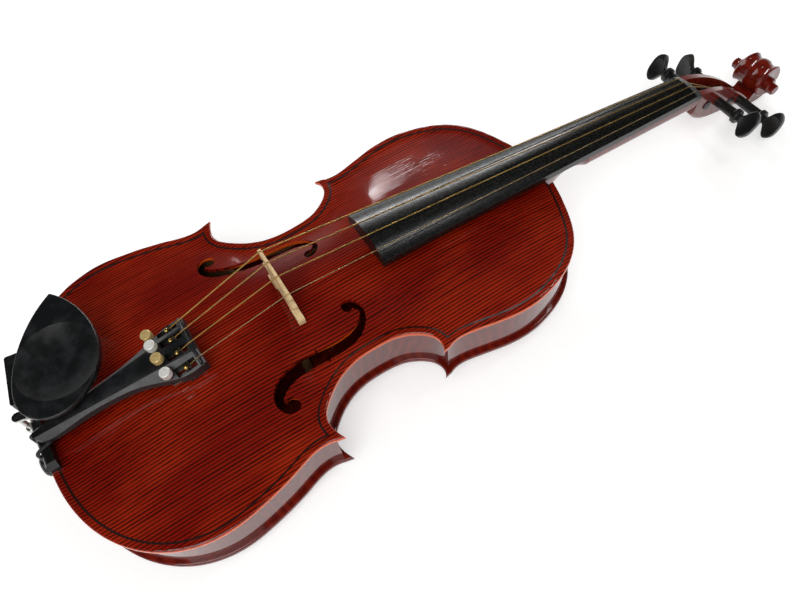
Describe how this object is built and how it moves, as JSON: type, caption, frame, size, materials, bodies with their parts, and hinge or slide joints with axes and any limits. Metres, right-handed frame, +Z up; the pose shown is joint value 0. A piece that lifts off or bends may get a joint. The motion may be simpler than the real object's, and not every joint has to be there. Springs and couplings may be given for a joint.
{
  "type": "violin",
  "caption": "Full-size violin with four turning pegs, four fine tuners, a bridge, a chinrest with a screw clamp and glossy red-brown varnish.",
  "frame": {"origin": "middle of the overall bounding box, on the plane that the violin lies on", "axes": "+Y from the end button towards the scroll, +X towards the treble side (E string), +Z up through the front; the violin lies on its back"},
  "size_m": [0.205, 0.595, 0.0943],
  "materials": {
    "spruce_varnish": "glossy deep red-brown varnish over straight grain",
    "maple_varnish": "glossy deep red-brown varnish",
    "inlay": "dark inlaid line under the varnish",
    "ebony": "black, satin",
    "black_satin": "black, satin",
    "bare_spruce": "bare, unvarnished",
    "pale_maple": "pale, unvarnished",
    "tailgut_nylon": "black cord",
    "string_metal": "wound metal, pale gold",
    "tuner_brass": "gold-plated, polished",
    "clamp_metal": "polished metal",
    "cork": "pressed cork, matt"
  },
  "bodies": {
    "instrument": {"front_plate": "spruce_varnish", "back_plate": "maple_varnish", "purfling": "inlay", "rib_lower_bass": "maple_varnish", "rib_lower_treble": "maple_varnish", "rib_centre_bass": "maple_varnish", "rib_centre_treble": "maple_varnish", "rib_upper_bass": "maple_varnish", "rib_upper_treble": "maple_varnish", "linings": "bare_spruce", "upper_block": "bare_spruce", "lower_block": "bare_spruce", "corner_blocks": "bare_spruce", "bass_bar": "bare_spruce", "sound_post": "bare_spruce", "neck": "maple_varnish", "fingerboard": "ebony", "nut": "ebony", "saddle": "ebony", "end_button": "ebony", "tailgut": "tailgut_nylon", "tailpiece": "black_satin", "tailpiece_fret": "black_satin", "tuner_pins": "tuner_brass", "bridge": "pale_maple", "string_g": "string_metal", "string_d": "string_metal", "string_a": "string_metal", "string_e": "string_metal", "chinrest_plate": "black_satin", "chinrest_cork": "cork", "chinrest_bracket": "clamp_metal"},
    "peg_g_set": {"peg_g": "ebony", "winding_g": "string_metal"},
    "peg_e_set": {"peg_e": "ebony", "winding_e": "string_metal"},
    "peg_d_set": {"peg_d": "ebony", "winding_d": "string_metal"},
    "peg_a_set": {"peg_a": "ebony", "winding_a": "string_metal"},
    "tuner_g_screw": {"tuner_screw_g": "tuner_brass"},
    "tuner_g_knob": {"tuner_knob_g": "tuner_brass"},
    "tuner_g_lever": {"tuner_lever_g": "tuner_brass", "ball_end_g": "tuner_brass"},
    "tuner_d_screw": {"tuner_screw_d": "tuner_brass"},
    "tuner_d_knob": {"tuner_knob_d": "tuner_brass"},
    "tuner_d_lever": {"tuner_lever_d": "tuner_brass", "ball_end_d": "tuner_brass"},
    "tuner_a_screw": {"tuner_screw_a": "tuner_brass"},
    "tuner_a_knob": {"tuner_knob_a": "tuner_brass"},
    "tuner_a_lever": {"tuner_lever_a": "tuner_brass", "ball_end_a": "tuner_brass"},
    "tuner_e_screw": {"tuner_screw_e": "tuner_brass"},
    "tuner_e_knob": {"tuner_knob_e": "tuner_brass"},
    "tuner_e_lever": {"tuner_lever_e": "tuner_brass", "ball_end_e": "tuner_brass"},
    "clamp_inner_barrel": {"clamp_barrel_inner": "clamp_metal"},
    "clamp_outer_barrel": {"clamp_barrel_outer": "clamp_metal"},
    "clamp_lower": {"clamp_foot": "clamp_metal", "clamp_cork": "cork"}
  },
  "joints": [
    {"name": "peg_g_turn", "type": "hinge", "parent": "instrument", "child": "peg_g_set", "pos_m": [0, 0.21246, 0.03619], "axis": [-1, 0, 0], "range_deg": [-180, 180]},
    {"name": "peg_e_turn", "type": "hinge", "parent": "instrument", "child": "peg_e_set", "pos_m": [0, 0.22658, 0.03166], "axis": [1, 0, 0], "range_deg": [-180, 180]},
    {"name": "peg_d_turn", "type": "hinge", "parent": "instrument", "child": "peg_d_set", "pos_m": [0, 0.24417, 0.02175], "axis": [-1, 0, 0], "range_deg": [-180, 180]},
    {"name": "peg_a_turn", "type": "hinge", "parent": "instrument", "child": "peg_a_set", "pos_m": [0, 0.25617, 0.0162], "axis": [1, 0, 0], "range_deg": [-180, 180]},
    {"name": "tuner_g_turn", "type": "hinge", "parent": "tuner_g_screw", "child": "tuner_g_knob", "pos_m": [-0.01425, -0.20759, 0.07181], "axis": [0, -0.1369, 0.9906], "range_deg": [-721, 541]},
    {"name": "tuner_g_travel", "type": "slide", "parent": "instrument", "child": "tuner_g_screw", "axis": [0, -0.1369, 0.9906], "range_m": [-0.0008, 0.0006]},
    {"name": "tuner_g_tilt", "type": "hinge", "parent": "instrument", "child": "tuner_g_lever", "pos_m": [-0.01425, -0.19618, 0.06229], "axis": [1, 0, 0], "range_deg": [-3.49, 4.63]},
    {"name": "tuner_d_turn", "type": "hinge", "parent": "tuner_d_screw", "child": "tuner_d_knob", "pos_m": [-0.00475, -0.20798, 0.07459], "axis": [0, -0.1369, 0.9906], "range_deg": [-721, 541]},
    {"name": "tuner_d_travel", "type": "slide", "parent": "instrument", "child": "tuner_d_screw", "axis": [0, -0.1369, 0.9906], "range_m": [-0.0008, 0.0006]},
    {"name": "tuner_d_tilt", "type": "hinge", "parent": "instrument", "child": "tuner_d_lever", "pos_m": [-0.00475, -0.19657, 0.06506], "axis": [1, 0, 0], "range_deg": [-3.49, 4.63]},
    {"name": "tuner_a_turn", "type": "hinge", "parent": "tuner_a_screw", "child": "tuner_a_knob", "pos_m": [0.00475, -0.20798, 0.07459], "axis": [0, -0.1369, 0.9906], "range_deg": [-721, 541]},
    {"name": "tuner_a_travel", "type": "slide", "parent": "instrument", "child": "tuner_a_screw", "axis": [0, -0.1369, 0.9906], "range_m": [-0.0008, 0.0006]},
    {"name": "tuner_a_tilt", "type": "hinge", "parent": "instrument", "child": "tuner_a_lever", "pos_m": [0.00475, -0.19657, 0.06506], "axis": [1, 0, 0], "range_deg": [-3.49, 4.63]},
    {"name": "tuner_e_turn", "type": "hinge", "parent": "tuner_e_screw", "child": "tuner_e_knob", "pos_m": [0.01425, -0.20759, 0.07181], "axis": [0, -0.1369, 0.9906], "range_deg": [-721, 541]},
    {"name": "tuner_e_travel", "type": "slide", "parent": "instrument", "child": "tuner_e_screw", "axis": [0, -0.1369, 0.9906], "range_m": [-0.0008, 0.0006]},
    {"name": "tuner_e_tilt", "type": "hinge", "parent": "instrument", "child": "tuner_e_lever", "pos_m": [0.01425, -0.19618, 0.06229], "axis": [1, 0, 0], "range_deg": [-3.49, 4.63]},
    {"name": "clamp_inner_turn", "type": "hinge", "parent": "instrument", "child": "clamp_inner_barrel", "pos_m": [-0.04917, -0.28947, 0.0263], "axis": [0, -0.0282, 0.9996], "range_deg": [0, 1441]},
    {"name": "clamp_outer_turn", "type": "hinge", "parent": "instrument", "child": "clamp_outer_barrel", "pos_m": [-0.02453, -0.2937, 0.02618], "axis": [0, -0.0282, 0.9996], "range_deg": [0, 1441]},
    {"name": "clamp_open", "type": "slide", "parent": "instrument", "child": "clamp_lower", "axis": [0, 0.0282, -0.9996], "range_m": [0, 0.0028]}
  ],
  "couplings": [
    {"joint": "tuner_g_turn", "follows": "tuner_g_travel", "rad_per_m": 15708},
    {"joint": "tuner_g_tilt", "follows": "tuner_g_travel", "rad_per_m": -100},
    {"joint": "tuner_d_turn", "follows": "tuner_d_travel", "rad_per_m": 15708},
    {"joint": "tuner_d_tilt", "follows": "tuner_d_travel", "rad_per_m": -100},
    {"joint": "tuner_a_turn", "follows": "tuner_a_travel", "rad_per_m": 15708},
    {"joint": "tuner_a_tilt", "follows": "tuner_a_travel", "rad_per_m": -100},
    {"joint": "tuner_e_turn", "follows": "tuner_e_travel", "rad_per_m": 15708},
    {"joint": "tuner_e_tilt", "follows": "tuner_e_travel", "rad_per_m": -100},
    {"joint": "clamp_inner_turn", "follows": "clamp_open", "rad_per_m": 8976},
    {"joint": "clamp_outer_turn", "follows": "clamp_open", "rad_per_m": 8976}
  ]
}
